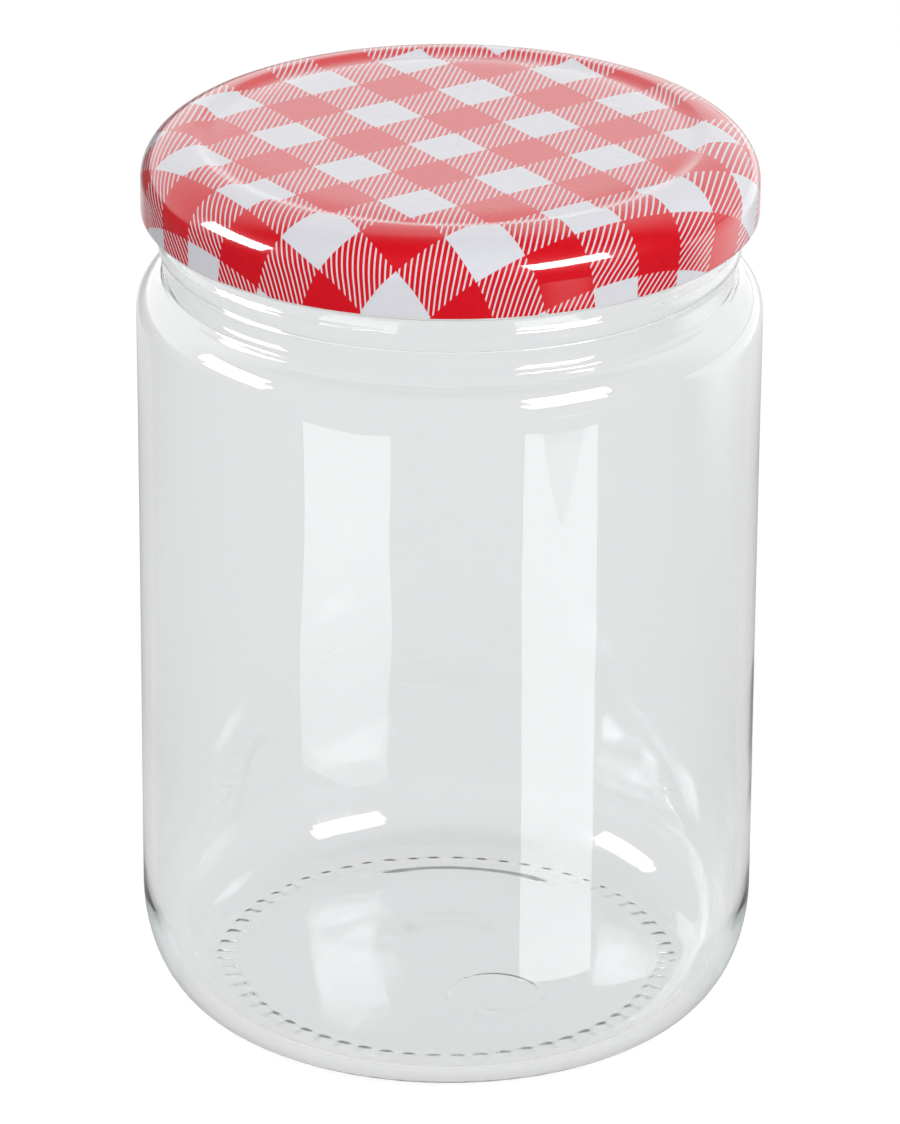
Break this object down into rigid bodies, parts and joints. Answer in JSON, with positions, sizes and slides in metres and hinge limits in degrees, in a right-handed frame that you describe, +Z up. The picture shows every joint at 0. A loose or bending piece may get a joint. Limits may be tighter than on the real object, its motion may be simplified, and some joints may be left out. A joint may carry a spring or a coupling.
{
  "type": "canning jar",
  "caption": "Round clear glass canning jar with a wide mouth and a gingham printed twist-off metal lid, empty.",
  "frame": {"origin": "centre of the ring the jar stands on, at its lowest plane", "axes": "+Z up along the jar's axis, towards the lid; X and Y are level, with -Y towards the front of the print"},
  "size_m": [0.086, 0.086, 0.1267],
  "materials": {
    "jar_glass": "clear soda-lime glass, fire polished",
    "printed_tinplate": "glossy varnish over red and white gingham print"
  },
  "bodies": {
    "root": {"jar": "jar_glass", "lid": "printed_tinplate"}
  },
  "joints": []
}
